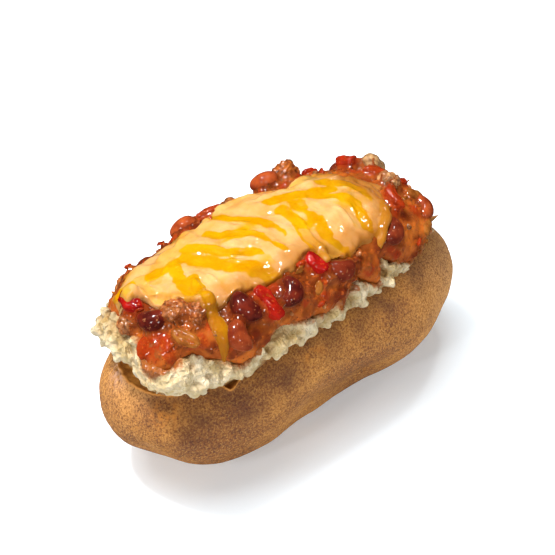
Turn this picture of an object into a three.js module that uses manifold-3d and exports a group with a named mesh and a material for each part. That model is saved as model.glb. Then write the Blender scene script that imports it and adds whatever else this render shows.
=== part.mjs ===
// A baked potato, slit open along its top and loaded: fluffed flesh, bean and beef chili, and melted cheese.
// Millimetres, +Z up, the long axis along X. The origin is on the ground under the middle of the potato.
import * as THREE from "three";
import Module from "manifold-3d";

const wasm = await Module();
wasm.setup();

// ---- Driving dimensions ----
const LENGTH = 150; // of the potato, end to end
const WIDTH = 77; // of the potato at its widest
const BODY_HEIGHT = 58; // of the potato before it was opened
const FLAT_DEPTH = 1.6; // how much of the round underside is pressed flat where it rests
const GAP = 0.35; // clearance between neighbouring solids

const OPENING_LENGTH = 132; // of the slit in the skin
const OPENING_WIDTH = 50;
const OPENING_CENTRE = [-2, 2.5]; // the slit sits a little off the middle,
const OPENING_TAPER = 0.15; // is wider at the near end,
const OPENING_SKEW = 0.04; // and runs slightly askew
const OPENING_FLOOR = 24; // height of the bottom of the fluffed flesh

const HEAP_LENGTH = 136; // of the fluffed flesh where it bulges over the skin
const HEAP_WIDTH = 60;
const HEAP_EDGE = 51; // height of that widest line
const HEAP_TOP = 70; // height of the flesh under the chili, in the middle
const HEAP_FAR_DROP = 15; // how much lower it lies at the far end
const HEAP_UNDERSIDE = 12; // how far the bulge curls back below its widest line

const CHILI_THICKNESS = 4.5;
const CHEESE_THICKNESS = 3;

// ---- Small maths ----
const radians = THREE.MathUtils.degToRad;
const mix = THREE.MathUtils.lerp;
const vec = (x, y, z) => new THREE.Vector3(x, y, z);
const signedPower = (value, exponent) => Math.sign(value) * Math.abs(value) ** exponent;

// Difference between two angles in degrees, the short way round.
const turnBetween = (a, b) => ((((a - b) % 360) + 540) % 360) - 180;

// Sum of soft lobes round an outline: each swells it by `out` at the angle `at`, over about `wide` degrees.
const lobes = (list, degrees) =>
  list.reduce((sum, lobe) => sum + lobe.out * Math.exp(-((turnBetween(degrees, lobe.at) / lobe.wide) ** 2)), 0);

// ---- Closed surfaces from rings ----
// A ring is a loop of points. The first and the last ring shrink to a point each, which closes the surface.
function solidFromRings(rings) {
  const around = rings[1].length;
  const centre = (ring) => ring.reduce((sum, p) => sum.add(p), vec(0, 0, 0)).divideScalar(ring.length);
  const points = [centre(rings[0]), ...rings.slice(1, -1).flat(), centre(rings.at(-1))];
  const last = points.length - 1;
  const faces = [];
  for (let i = 0; i < around; i++) {
    const next = (i + 1) % around;
    faces.push(0, 1 + i, 1 + next);
    for (let r = 0; r < rings.length - 3; r++) {
      const a = 1 + r * around;
      const b = a + around;
      faces.push(a + i, b + i, b + next, a + i, b + next, a + next);
    }
    const a = 1 + (rings.length - 3) * around;
    faces.push(a + i, last, a + next);
  }
  const solid = manifoldOf(points.flatMap((p) => p.toArray()), faces);
  return solid.volume() < 0 ? manifoldOf(points.flatMap((p) => p.toArray()), faces.reverse()) : solid;
}

function manifoldOf(coordinates, faces) {
  const mesh = { numProp: 3, vertProperties: new Float32Array(coordinates), triVerts: new Uint32Array(faces) };
  return new wasm.Manifold(new wasm.Mesh(mesh));
}

function geometryOf(solid) {
  const { vertProperties, triVerts } = solid.getMesh();
  const geometry = new THREE.BufferGeometry();
  geometry.setAttribute("position", new THREE.BufferAttribute(vertProperties, 3));
  geometry.setIndex(new THREE.BufferAttribute(triVerts, 1));
  return geometry;
}

// The one connected body of a cut solid, without the slivers that the cuts leave on its surface.
const SLIVER = 0.08;
const largestPiece = (solid) =>
  solid
    .decompose()
    .reduce((best, piece) => (piece.volume() > best.volume() ? piece : best))
    .simplify(SLIVER);

const loop = (count, point) => Array.from({ length: count }, (_, i) => point((360 * i) / count));

// ---- The potato ----
// Swellings and dents in the skin: a place, how far the effect reaches, and its height.
const SKIN_LUMPS = [
  { at: vec(-72, -12, 14), reach: 11, height: -4 }, // crease under the near end
  { at: vec(-46, -34, 22), reach: 15, height: -2 },
  { at: vec(-16, -37, 19), reach: 20, height: -8 }, // waist
  { at: vec(8, -37, 15), reach: 18, height: -8 },
  { at: vec(52, -30, 20), reach: 24, height: -0.8 },
  { at: vec(-66, -22, 33), reach: 6, height: 1.5 }, // knob where a sprout grew
];
const POTATO_STATIONS = 24;
const POTATO_AROUND = 32;

function potatoPoint(along, around, grow) {
  const s = Math.sin(along);
  const c = Math.max(Math.cos(along), 0) ** 0.82;
  const halfWidth = ((WIDTH / 2) * (1 - 0.07 * s) + grow) * c;
  const halfHeight = ((BODY_HEIGHT + FLAT_DEPTH) / 2 + grow) * c;
  const point = vec(
    (LENGTH / 2 + grow) * s,
    halfWidth * Math.cos(around),
    (BODY_HEIGHT - FLAT_DEPTH) / 2 + halfHeight * Math.sin(around),
  );
  const outward = vec(s * 0.5, c * Math.cos(around), c * Math.sin(around)).normalize();
  for (const lump of SKIN_LUMPS) {
    const near = Math.exp(-point.distanceToSquared(lump.at) / lump.reach ** 2);
    point.addScaledVector(outward, lump.height * near);
  }
  return point;
}

function potato(grow) {
  const rings = [];
  for (let i = 0; i <= POTATO_STATIONS; i++) {
    const along = radians(-90 + (180 * i) / POTATO_STATIONS);
    rings.push(loop(POTATO_AROUND, (degrees) => potatoPoint(along, radians(degrees), grow)));
  }
  return solidFromRings(rings);
}

// ---- The opening ----
// Places where the skin tore farther out or stayed farther in, as angles round the slit.
const TEARS = [
  { at: -160, wide: 8, out: 1.5 },
  { at: -146, wide: 7, out: -1.5 },
  { at: -126, wide: 5, out: 4.5 },
  { at: -96, wide: 5, out: 2 },
  { at: -62, wide: 7, out: -1.5 },
  { at: -20, wide: 16, out: 4 },
  { at: 60, wide: 6, out: 2 },
  { at: 118, wide: 6, out: 3 },
];
const OPENING_AROUND = 48;

const ovalPoint = (degrees, length, width, extra) => {
  const squareness = 0.85;
  const c = signedPower(Math.cos(radians(degrees)), squareness);
  const s = signedPower(Math.sin(radians(degrees)), squareness);
  const flat = vec((length / 2) * c, (width / 2) * s, 0);
  flat.addScaledVector(flat.clone().normalize(), extra);
  flat.y = flat.y * (1 - (OPENING_TAPER * flat.x * 2) / length) + OPENING_SKEW * flat.x;
  return flat;
};
const atOpening = (x, y, z) => vec(x + OPENING_CENTRE[0], y + OPENING_CENTRE[1], z);

function opening(grow) {
  const levels = [
    { z: OPENING_FLOOR - grow, scale: 0 },
    { z: OPENING_FLOOR - grow, scale: 0.6 },
    { z: OPENING_FLOOR + 6, scale: 0.85 },
    { z: 38, scale: 0.97 },
    { z: 44, scale: 1 },
    { z: 100, scale: 1 },
    { z: 100, scale: 0 },
  ];
  const rings = levels.map(({ z, scale }) =>
    loop(OPENING_AROUND, (degrees) => {
      const p = ovalPoint(degrees, OPENING_LENGTH, OPENING_WIDTH, lobes(TEARS, degrees) + grow);
      return atOpening(p.x * scale, p.y * scale, z);
    }),
  );
  return solidFromRings(rings);
}

// A loose tongue of skin stands at the rim at the far end, leaning outwards.
const FLAP = { root: vec(66, -8, 30), facing: -25, wide: 11, high: 17, lean: 2, thick: 1.4 };

function flap(grow) {
  const levels = [0, 0, 0.45, 0.75, 0.92, 1, 1];
  const rings = levels.map((share, i) => {
    const end = i === 0 || i === levels.length - 1;
    const half = end ? 0 : (FLAP.wide / 2) * Math.sqrt(1 - 0.9 * share ** 2) + grow;
    const thick = end ? 0 : (FLAP.thick / 2) * (1 - 0.4 * share) + grow;
    return loop(8, (d) =>
      vec(thick * Math.cos(radians(d)) + FLAP.lean * share ** 2, half * Math.sin(radians(d)), (FLAP.high + grow) * share)
        .applyAxisAngle(vec(0, 0, 1), radians(FLAP.facing))
        .add(FLAP.root),
    );
  });
  return solidFromRings(rings);
}

// ---- The heap of fluffed flesh ----
const HEAP_LOBES = [
  { at: 0, wide: 40, out: 1 },
  { at: -158, wide: 12, out: 3 },
  { at: -105, wide: 26, out: -3 },
  { at: 152, wide: 13, out: 3 },
  { at: 180, wide: 14, out: -1.5 },
  { at: 122, wide: 14, out: -2 },
];
const HEAP_EDGE_LOBES = [
  { at: -105, wide: 30, out: 3 },
  { at: 168, wide: 24, out: 5 },
];
const CRUMBLE = 0.7; // height of the unevenness of the flesh

// rho runs from 0 at the top through 1 at the widest line to FULL where the underside closes.
const FULL = 1.7;
function heapPoint(rho, degrees) {
  const alpha = radians(90 * rho);
  const c = Math.cos(alpha);
  const lengthwise = Math.cos(radians(degrees)) ** 2;
  const spread = Math.sin(alpha) ** mix(0.8, 0.5, lengthwise);
  const outline = ovalPoint(degrees, HEAP_LENGTH, HEAP_WIDTH, lobes(HEAP_LOBES, degrees));
  const drop = HEAP_FAR_DROP * Math.max(0, (2 * outline.x * spread) / HEAP_LENGTH) ** 4;
  const edge = HEAP_EDGE + lobes(HEAP_EDGE_LOBES, degrees);
  const z = c > 0 ? mix(edge, Math.max(HEAP_TOP - drop, edge), c ** 0.9) : edge + HEAP_UNDERSIDE * c;
  return atOpening(outline.x * spread, outline.y * spread, z);
}

function heapSurface(rho, degrees, lift) {
  const step = 0.004;
  const a = Math.max(rho, step);
  const across = heapPoint(a, degrees + 0.5).sub(heapPoint(a, degrees - 0.5));
  const outward = heapPoint(a + step, degrees).sub(heapPoint(a - step, degrees));
  return heapPoint(rho, degrees).addScaledVector(outward.cross(across).normalize(), lift);
}

const HEAP_AROUND = 36;
const HEAP_ROWS = [0, 0.3, 0.55, 0.75, 0.9, 1, 1.1, 1.2, 1.3, 1.4, 1.55, FULL];
function heap(grow) {
  const uneven = (row, d) => (row > 3 ? CRUMBLE * Math.sin(row * 2.4 + Math.sin(d * 0.31) * 2) * Math.sin(d * 0.19 + row) : 0);
  return solidFromRings(
    HEAP_ROWS.map((rho, row) => loop(HEAP_AROUND, (d) => heapSurface(rho, d, grow + uneven(row, d)))),
  );
}

// ---- Layers over the heap ----
// A layer runs out to edge(degrees), is rounded there, and is sunk a little into what it lies on.
// relief(point) raises its upper side.
function layer({ around, edge, lift, thickness, relief }, grow) {
  const upperShares = [0, 0.33, 0.62, 0.84, 0.95, 1];
  const lowerShares = [1, 0.8, 0];
  const reach = (d) => edge(d) + grow / 40;
  const upper = upperShares.map((share) =>
    loop(around, (d) => {
      const rounding = Math.sqrt(1 - share ** 6);
      const raised = relief(heapSurface(share * reach(d), d, 0));
      return heapSurface(share * reach(d), d, lift + (thickness + raised) * rounding + grow);
    }),
  );
  const lower = lowerShares.map((share) => loop(around, (d) => heapSurface(share * reach(d), d, lift - 2.2)));
  return solidFromRings([...upper, ...lower]);
}

const CHILI_EDGE = 0.7;
const CHILI_RUNS = [
  { at: 178, wide: 14, out: 0.08 },
  { at: -150, wide: 7, out: -0.08 },
  { at: -130, wide: 9, out: 0.16 },
  { at: -112, wide: 7, out: -0.06 },
  { at: -80, wide: 6, out: -0.08 },
  { at: -36, wide: 22, out: 0.3 },
  { at: 10, wide: 20, out: 0.15 },
  { at: 90, wide: 45, out: 0.15 },
  { at: 62, wide: 8, out: -0.06 },
  { at: 82, wide: 9, out: 0.1 },
  { at: 132, wide: 9, out: 0.08 },
];
const CHILI = {
  around: 40,
  edge: (d) => CHILI_EDGE + lobes(CHILI_RUNS, d),
  lift: 0,
  thickness: CHILI_THICKNESS,
  relief: (p) => 0.6 * Math.sin(p.x * 0.31 + p.y * 0.2) * Math.sin(p.y * 0.33 - p.x * 0.12),
};

const CHEESE_EDGE = 0.42;
const CHEESE_RUNS = [
  { at: 160, wide: 14, out: 0.2 },
  { at: 122, wide: 12, out: -0.08 },
  { at: 88, wide: 16, out: 0.15 },
  { at: 62, wide: 6, out: -0.14 },
  { at: 46, wide: 10, out: 0.12 },
  { at: 0, wide: 22, out: -0.12 },
  { at: -68, wide: 12, out: 0.15 },
  { at: -97, wide: 6, out: -0.1 },
  { at: -30, wide: 14, out: 0.06 },
  { at: -128, wide: 9, out: -0.12 },
  { at: -165, wide: 8, out: -0.07 },
];
// Ridges left by the shreds as they melted: the ends of each in plan.
const SHREDS = [
  { from: vec(2, 16, 0), to: vec(2, -16, 0) },
  { from: vec(-30, 16, 0), to: vec(-16, -10, 0) },
  { from: vec(-62, 12, 0), to: vec(-34, 16, 0) },
  { from: vec(-42, 8, 0), to: vec(-54, -20, 0) },
  { from: vec(40, 2, 0), to: vec(20, -22, 0) },
  { from: vec(4, 22, 0), to: vec(40, 14, 0) },
];
const SHRED_HEIGHT = 1.3;
const SHRED_REACH = 3.2;
function ridges(point) {
  const here = vec(point.x, point.y, 0);
  const nearest = (shred) => new THREE.Line3(shred.from, shred.to).closestPointToPoint(here, true, vec(0, 0, 0));
  return SHREDS.reduce(
    (most, shred) => Math.max(most, SHRED_HEIGHT * Math.exp(-here.distanceToSquared(nearest(shred)) / SHRED_REACH ** 2)),
    0,
  );
}
// Tongues of cheese that ran down over the chili, placed as the pieces below are.
const CHEESE_DRIPS = [
  { kind: "drip", at: -142, rho: 0.5, turn: -112, size: [20, 5.5, 3.4], high: CHILI_THICKNESS + 0.9 },
  { kind: "drip", at: -72, rho: 0.5, turn: -115, size: [15, 5, 3.2], high: CHILI_THICKNESS + 0.9 },
];
const CHEESE = {
  around: 50,
  edge: (d) => CHEESE_EDGE + lobes(CHEESE_RUNS, d),
  lift: CHILI_THICKNESS,
  thickness: CHEESE_THICKNESS,
  relief: ridges,
};

// ---- Pieces in the chili ----
// What each kind is like: how square its form is, how knobbly, how it bends, its colour and roughness.
const KINDS = {
  bean: { stations: 6, square: 0, rough: 0, bend: 1.1, color: 0x5a211a, roughness: 0.2, size: [11, 7.6, 6.8] },
  tomato: { stations: 5, square: 0.25, rough: 0.1, bend: 1, color: 0xb8352b, roughness: 0.2, size: [9, 7, 5] },
  beef: { stations: 5, square: 0.1, rough: 0.3, bend: 0, color: 0x7a3817, roughness: 0.5, size: [9, 8, 7] },
  onion: { stations: 4, square: 0.4, rough: 0.04, bend: 1, color: 0xb07a3c, roughness: 0.25, size: [9, 4.6, 3] },
  drip: { stations: 5, square: 0.2, rough: 0, bend: 0.8 },
};
// Where each one lies: its angle round the heap, how far out (rho), its turn from lengthwise,
// and, where it isn't an ordinary one, its size and how high it lies.
const PIECES = [
  { kind: "bean", at: -174, rho: 0.53, turn: -43 },
  { kind: "bean", at: -131, rho: 0.44, turn: -75, size: [12, 8.5, 7.5] },
  { kind: "bean", at: -131, rho: 0.63, turn: -95 },
  { kind: "bean", at: -108, rho: 0.52, turn: 50 },
  { kind: "bean", at: -87, rho: 0.58, turn: -20 },
  { kind: "bean", at: -60, rho: 0.58, turn: 40 },
  { kind: "bean", at: -33, rho: 0.68, turn: 60, high: 4.5 },
  { kind: "bean", at: 40, rho: 0.74, turn: -40 },
  { kind: "bean", at: 74, rho: 0.54, turn: -18, high: 7 },
  { kind: "bean", at: 104, rho: 0.6, turn: 0 },
  { kind: "bean", at: 122, rho: 0.76, turn: 30, high: 3.6 },
  { kind: "tomato", at: 171, rho: 0.52, turn: 50 },
  { kind: "tomato", at: -166, rho: 0.66, turn: -43, size: [13, 9, 4.5] },
  { kind: "tomato", at: -120, rho: 0.5, turn: -98, size: [14, 6, 5], high: 7 },
  { kind: "tomato", at: -92, rho: 0.43, turn: -43 },
  { kind: "tomato", at: -34, rho: 0.4, turn: -114, size: [12, 5, 5], high: 6 },
  { kind: "tomato", at: -10, rho: 0.45, turn: -20, size: [6, 5, 5] },
  { kind: "tomato", at: 6, rho: 0.36, turn: -60, size: [9, 6, 5] },
  { kind: "tomato", at: 35, rho: 0.54, turn: -80, size: [9, 6, 5], high: 7 },
  { kind: "tomato", at: 96, rho: 0.52, turn: -10, size: [10, 5, 5], high: 5 },
  { kind: "tomato", at: 108, rho: 0.8, turn: 20, high: 3.6 },
  { kind: "tomato", at: 56, rho: 0.74, turn: 70 },
  { kind: "beef", at: -168, rho: 0.42, turn: 10 },
  { kind: "beef", at: -156, rho: 0.38, turn: 60 },
  { kind: "beef", at: 175, rho: 0.68, turn: 0, size: [6, 6, 6] },
  { kind: "beef", at: -10, rho: 0.36, turn: 0, size: [8, 7, 6] },
  { kind: "beef", at: 64, rho: 0.54, turn: 0, high: 7 },
  { kind: "beef", at: 86, rho: 0.78, turn: 40 },
  { kind: "beef", at: 134, rho: 0.76, turn: 0, size: [8, 7, 6], high: 3.6 },
  { kind: "beef", at: 20, rho: 0.52, turn: 40, size: [11, 9, 8], high: 6.5 },
  { kind: "onion", at: -154, rho: 0.56, turn: -66 },
  { kind: "onion", at: -24, rho: 0.55, turn: -30, size: [7, 5, 3] },
  { kind: "onion", at: -44, rho: 0.82, turn: 20, size: [7, 4, 3] },
];
const PIECE_HEIGHT = 5; // of an ordinary piece's middle over the flesh

function morsel({ kind, at, rho, turn, size = KINDS[kind].size, high = PIECE_HEIGHT }, grow) {
  const { stations, square, rough, bend } = KINDS[kind];
  const [length, width, height] = size;
  const roundness = 1 - square;
  const ahead = vec(1, 0, 0);
  const foot = heapSurface(rho, at, 0);
  const up = heapSurface(rho, at, 1).sub(foot);
  ahead.projectOnPlane(up).normalize().applyAxisAngle(up, radians(turn));
  const frame = new THREE.Matrix4().makeBasis(ahead, up.clone().cross(ahead), up);
  frame.setPosition(foot.addScaledVector(up, high));
  const rings = [];
  for (let i = 0; i <= stations; i++) {
    const along = radians(-90 + (180 * i) / stations);
    const s = signedPower(Math.sin(along), roundness);
    const c = Math.max(Math.cos(along), 0) ** roundness;
    rings.push(
      loop(8, (d) => {
        const knob = 1 + rough * Math.sin(i * 2.1 + at) * Math.cos(radians(d * 2) + i + at);
        const y = c * signedPower(Math.cos(radians(d)), roundness) * knob;
        const z = c * signedPower(Math.sin(radians(d)), roundness) * knob;
        return vec(
          (length / 2 + grow) * s,
          (width / 2 + grow) * y + bend * (s * s - 0.5),
          (height / 2 + grow) * z,
        ).applyMatrix4(frame);
      }),
    );
  }
  return solidFromRings(rings);
}

// ---- Assembly ----
const group = new THREE.Group();
function place(name, solid, color, roughness) {
  const material = new THREE.MeshStandardMaterial({ color, roughness, metalness: 0 });
  const mesh = new THREE.Mesh(geometryOf(largestPiece(solid)), material);
  mesh.name = name;
  group.add(mesh);
}

// A wide slab between two heights.
const slab = (low, high) =>
  solidFromRings(
    [[0, low], [200, low], [200, high], [0, high]].map(([reach, z]) =>
      loop(4, (d) => vec(reach * Math.cos(radians(d)), reach * Math.sin(radians(d)), z)),
    ),
  );
const RIM = 48; // height under which the flesh fills the skin from side to side
const skinRoom = potato(GAP).subtract(opening(-GAP));
const plug = opening(-GAP).intersect(slab(0, RIM));
const flesh = heap(0).add(plug).subtract(skinRoom.add(flap(GAP)));
const tongue = flap(0).subtract(opening(0).intersect(slab(0, RIM - 6)));
const skin = potato(0).subtract(opening(0)).subtract(slab(-20, 0)).add(tongue);
place("potato", skin, 0xa8784a, 0.8);
place("flesh", flesh, 0xe8ddb0, 0.7);

const counts = {};
let taken = skinRoom.add(heap(GAP)).add(flap(GAP));
for (const piece of PIECES) {
  counts[piece.kind] = (counts[piece.kind] ?? 0) + 1;
  const { color, roughness } = KINDS[piece.kind];
  place(`${piece.kind}_${counts[piece.kind]}`, morsel(piece, 0).subtract(taken), color, roughness);
  taken = taken.add(morsel(piece, GAP));
}
place("chili", layer(CHILI, 0).subtract(taken), 0xa8431c, 0.3);
const melted = CHEESE_DRIPS.reduce((all, drip) => all.add(morsel(drip, 0)), layer(CHEESE, 0));
place("cheese", melted.subtract(taken.add(layer(CHILI, GAP))), 0xf5b82e, 0.3);

// Stand the middle of the whole over the origin.
const middle = new THREE.Box3().setFromObject(group).getCenter(vec(0, 0, 0));
group.position.set(-middle.x, -middle.y, 0);

export default group;
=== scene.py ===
import itertools
import math

import bmesh
import bpy
import numpy as np
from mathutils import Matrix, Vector, kdtree, noise
from mathutils.bvhtree import BVHTree


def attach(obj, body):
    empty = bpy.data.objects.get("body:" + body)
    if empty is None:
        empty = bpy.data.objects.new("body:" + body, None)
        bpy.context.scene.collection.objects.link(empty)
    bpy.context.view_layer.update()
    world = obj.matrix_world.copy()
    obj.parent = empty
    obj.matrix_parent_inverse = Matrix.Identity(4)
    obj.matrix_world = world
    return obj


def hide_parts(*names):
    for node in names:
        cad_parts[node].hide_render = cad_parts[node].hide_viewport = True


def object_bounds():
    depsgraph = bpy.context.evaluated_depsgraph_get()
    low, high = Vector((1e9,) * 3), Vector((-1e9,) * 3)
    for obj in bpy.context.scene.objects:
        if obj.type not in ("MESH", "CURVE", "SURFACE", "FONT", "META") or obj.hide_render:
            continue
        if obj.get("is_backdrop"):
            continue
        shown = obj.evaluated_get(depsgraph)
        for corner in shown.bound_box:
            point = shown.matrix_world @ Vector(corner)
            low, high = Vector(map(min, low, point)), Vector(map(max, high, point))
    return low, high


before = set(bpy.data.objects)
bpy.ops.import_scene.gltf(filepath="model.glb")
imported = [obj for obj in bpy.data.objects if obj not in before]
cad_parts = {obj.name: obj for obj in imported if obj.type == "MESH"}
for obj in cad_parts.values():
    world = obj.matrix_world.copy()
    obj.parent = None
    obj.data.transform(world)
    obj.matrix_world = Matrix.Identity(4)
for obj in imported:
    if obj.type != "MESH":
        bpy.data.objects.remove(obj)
cad_low, cad_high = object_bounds()

# ---- Potato skin ----
# The skin of a large russet potato, baked dry: thin, leathery, and netted all over with fine brown cork.
# It was slit lengthways and squeezed open: one body, with a torn rim and a shallow pocket for the flesh.
MM = 0.001  # shapes are worked out in millimetres
MIDDLE = np.array([0.077, 2.848, 0.0])  # of the whole, in the frame the potato's measures are taken in
HALF_LENGTH, HALF_WIDTH, HALF_HEIGHT = 75, 38.5, 29.8
MIDDLE_HEIGHT = 28.2
TAPER, BLUNT = 0.07, 0.82  # how much narrower the far end is, and how blunt both are
SLIT_LENGTH, SLIT_WIDTH = 132, 50
SLIT_CENTRE = (-2.0, 2.5)
SWELLINGS = [  # place, reach and height
    ((-72, -12, 14), 11, -4.0),
    ((-46, -34, 22), 15, -2.0),
    ((-16, -37, 19), 20, -8.0),
    ((8, -37, 15), 18, -8.0),
    ((52, -30, 20), 24, -0.8),
    ((-66, -22, 33), 6, 1.5),
]
TEARS = [  # angle round the slit, width in degrees, how far out
    (-162, 12, -1.2),
    (-146, 7, -2.0),
    (-126, 4.0, 3.4),
    (-96, 5, 2.0),
    (-62, 7, -1.5),
    (-16, 12, 3.0),
    (-30, 9, 5.0),
    (60, 6, 2.0),
    (118, 6, 3.0),
]


def unit(vectors):
    return vectors / np.maximum(np.linalg.norm(vectors, axis=-1, keepdims=True), 1e-9)


def near(points, place, reach):
    """1 at a place, fading to nothing round it."""
    return np.exp(-((points - np.array(place, float)) ** 2).sum(-1) / reach**2)


def ease(value, low, high):
    """0 below low, 1 above high, and smooth between."""
    t = np.clip((value - low) / (high - low), 0, 1)
    return t * t * (3 - 2 * t)


def soft_noise(points, size, seed=0):
    """Smooth unevenness from about -1 to 1, in lumps about size across."""
    q = np.asarray(points, float).reshape(-1, 3) / size + 7.31 * seed
    cell = np.floor(q).astype(np.int64)
    f = q - cell
    w = f * f * f * (f * (f * 6 - 15) + 10)
    total = np.zeros(len(q))
    for corner in itertools.product((0, 1), repeat=3):
        c = cell + corner
        h = (c[:, 0] * 73856093) ^ (c[:, 1] * 19349663) ^ (c[:, 2] * 83492791)
        h = (h ^ (h >> 13)) * 1274126177
        h = ((h ^ (h >> 16)) * 668265263) & 0x3FFFFFFF
        slope = np.stack([((h >> k) & 1023) / 511.5 - 1 for k in (0, 10, 20)], 1)
        weight = np.prod(np.where(np.array(corner, bool), w, 1 - w), axis=1)
        total += weight * ((f - corner) * slope).sum(1)
    return (total * 1.6).reshape(np.shape(points)[:-1])


def potato(directions):
    """Points of the whole potato's surface, and the way out there, for directions from its middle."""
    s = directions[..., 0]
    across = np.sqrt(np.maximum(1 - s * s, 1e-12))
    c = across**BLUNT
    y, z = directions[..., 1] / across, directions[..., 2] / across
    wide = HALF_WIDTH * (1 - TAPER * s) * c
    point = np.stack([HALF_LENGTH * s, wide * y, MIDDLE_HEIGHT + HALF_HEIGHT * c * z], -1)
    outward = unit(np.stack([0.5 * s, c * y, c * z], -1))
    for place, reach, height in SWELLINGS:
        point = point + outward * (height * near(point, place, reach))[..., None]
    return point - MIDDLE, outward


def lobes(bumps, degrees):
    """Swelling of an outline: each bump is an angle, a width in degrees and how far out."""
    total = np.zeros(np.shape(degrees))
    for at, wide, out in bumps:
        total = total + out * np.exp(-((((degrees - at + 540) % 360 - 180) / wide) ** 2))
    return total


def oval(degrees, length, width, extra):
    """The long outline of the slit and of what fills it: wider at the near end and a little askew."""
    c, s = np.cos(np.radians(degrees)), np.sin(np.radians(degrees))
    x = length / 2 * np.sign(c) * np.abs(c) ** 0.85
    y = width / 2 * np.sign(s) * np.abs(s) ** 0.85
    grown = 1 + extra / np.hypot(x, y)
    x, y = x * grown, y * grown
    return x, y * (1 - 0.3 * x / length) + 0.04 * x


def all_round(count):
    return np.arange(count) * 360 / count


def round_slit(degrees):
    """Points on a plain oval the size of the slit, for unevenness to run along."""
    turn = np.radians(degrees)
    return np.stack([SLIT_LENGTH / 2 * np.cos(turn), SLIT_WIDTH / 2 * np.sin(turn), 0 * degrees], 1)


def closed(rows):
    """The points of rows, with the middle of the first row before them and of the last row after."""
    return np.concatenate([[rows[0].mean(0)], rows.reshape(-1, 3), [rows[-1].mean(0)]])


def ring_faces(rows, around):
    """Faces of a surface made of rows of looped points, closed by one point before them and one after."""
    i = np.arange(around)
    j = (i + 1) % around
    first, last = 1 + 0 * i, 1 + (rows - 1) * around
    faces = np.stack([0 * i, first + j, first + i], 1).tolist()
    for r in range(rows - 1):
        a = 1 + r * around
        faces += np.stack([a + i, a + j, a + around + j, a + around + i], 1).tolist()
    faces += np.stack([last + i, last + j, 0 * i + 1 + rows * around], 1).tolist()
    return faces


def make_piece(name, points, faces, finish, marks=None):
    """A smooth mesh from points in millimetres. Marks are values for each point that its finish reads."""
    mesh = bpy.data.meshes.new(name)
    mesh.from_pydata((np.asarray(points, float) * MM).tolist(), [], [list(f) for f in faces])
    mesh.validate()
    shell = bmesh.new()
    shell.from_mesh(mesh)
    bmesh.ops.recalc_face_normals(shell, faces=shell.faces)
    shell.to_mesh(mesh)
    shell.free()
    mesh.shade_smooth()
    for label, values in (marks or {}).items():
        attribute = mesh.attributes.new(label, "FLOAT", "POINT")
        attribute.data.foreach_set("value", np.broadcast_to(values, len(points)).astype(np.float32))
    mesh.materials.append(finish)
    thing = bpy.data.objects.new(name, mesh)
    bpy.context.scene.collection.objects.link(thing)
    return thing


class Wire:
    """A socket in a material's nodes. Sums of wires add the Math nodes that they stand for."""

    def __init__(self, tree, socket=None):
        self.tree, self.socket = tree, socket

    def add(self, kind, settings={}, inputs={}, output=0):
        """Any node: its settings, then the values or wires of its inputs, and which output is wanted."""
        node = self.tree.nodes.new("ShaderNode" + kind)
        for name, value in settings.items():
            setattr(node, name, value)
        for name, value in inputs.items():
            if isinstance(value, Wire):
                self.tree.links.new(value.socket, node.inputs[name])
            else:
                node.inputs[name].default_value = value
        return Wire(self.tree, node.outputs[output])

    def math(self, operation, *values, clamp=False):
        return self.add("Math", {"operation": operation, "use_clamp": clamp}, dict(enumerate(values)))

    def __add__(self, other):
        return self.math("ADD", self, other)

    def __mul__(self, other):
        return self.math("MULTIPLY", self, other)

    __radd__, __rmul__ = __add__, __mul__

    def between(self, low, high):
        """0 where the wire is below low, 1 above high."""
        return self.math("MULTIPLY_ADD", self, 1 / (high - low), -low / (high - low), clamp=True)

    def choose(self, colour, other):
        """Colour where the wire is 0, and other where it is 1."""
        return self.add("Mix", {"data_type": "RGBA"}, {0: self, 6: colour, 7: other}, 2)


def tone(red, green, blue):
    """A colour from its everyday 0 to 255 values."""
    linear = [((v / 255 + 0.055) / 1.055) ** 2.4 if v > 10 else v / 3294.6 for v in (red, green, blue)]
    return (*linear, 1.0)


def new_finish(name):
    """A material with nothing in it yet: the material, a wire to add nodes by, and places in the object."""
    material = bpy.data.materials.new(name)
    material.use_nodes = True
    material.node_tree.nodes.clear()
    start = Wire(material.node_tree)
    return material, start, start.add("TexCoord", output="Object")


def grain(place, size, detail=2.0, roughness=0.5):
    """Noise from 0 to 1 whose lumps are about size millimetres across."""
    inputs = {"Vector": place, "Scale": 0.6 / (size * MM), "Detail": detail, "Roughness": roughness}
    return place.add("TexNoise", {}, inputs, "Fac")


def mark(start, name):
    """What make_piece stored at the points under that name."""
    return start.add("Attribute", {"attribute_name": name}, output="Fac")


def bump(height, distance, strength=1.0):
    inputs = {"Height": height, "Distance": distance * MM, "Strength": strength}
    return height.add("Bump", {}, inputs)


def finish_with(start, **inputs):
    """The shader itself: what is given here, and the rest as Blender has it."""
    named = {key.replace("_", " "): value for key, value in inputs.items()}
    shader = start.add("BsdfPrincipled", {}, named)
    output = start.tree.nodes.new("ShaderNodeOutputMaterial")
    start.tree.links.new(shader.socket, output.inputs["Surface"])


SKIN_AROUND = 480
SKIN_ROWS = 112
angles = all_round(SKIN_AROUND)
loop = round_slit(angles)
ragged = 0.5 * soft_noise(loop, 7, 1) + 0.4 * soft_noise(loop, 2.6, 2) + 0.2 * soft_noise(loop, 1.2, 3)
rim_x, rim_y = oval(angles, SLIT_LENGTH, SLIT_WIDTH, lobes(TEARS, angles) + ragged)
rim_x, rim_y = rim_x + SLIT_CENTRE[0], rim_y + SLIT_CENTRE[1]
s = rim_x / HALF_LENGTH
across = np.sqrt(1 - s * s)
side = np.clip(rim_y / (HALF_WIDTH * (1 - TAPER * s) * across**BLUNT), -0.97, 0.97)
rim_directions = np.stack([s, across * side, across * np.sqrt(1 - side**2)], 1)

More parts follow.
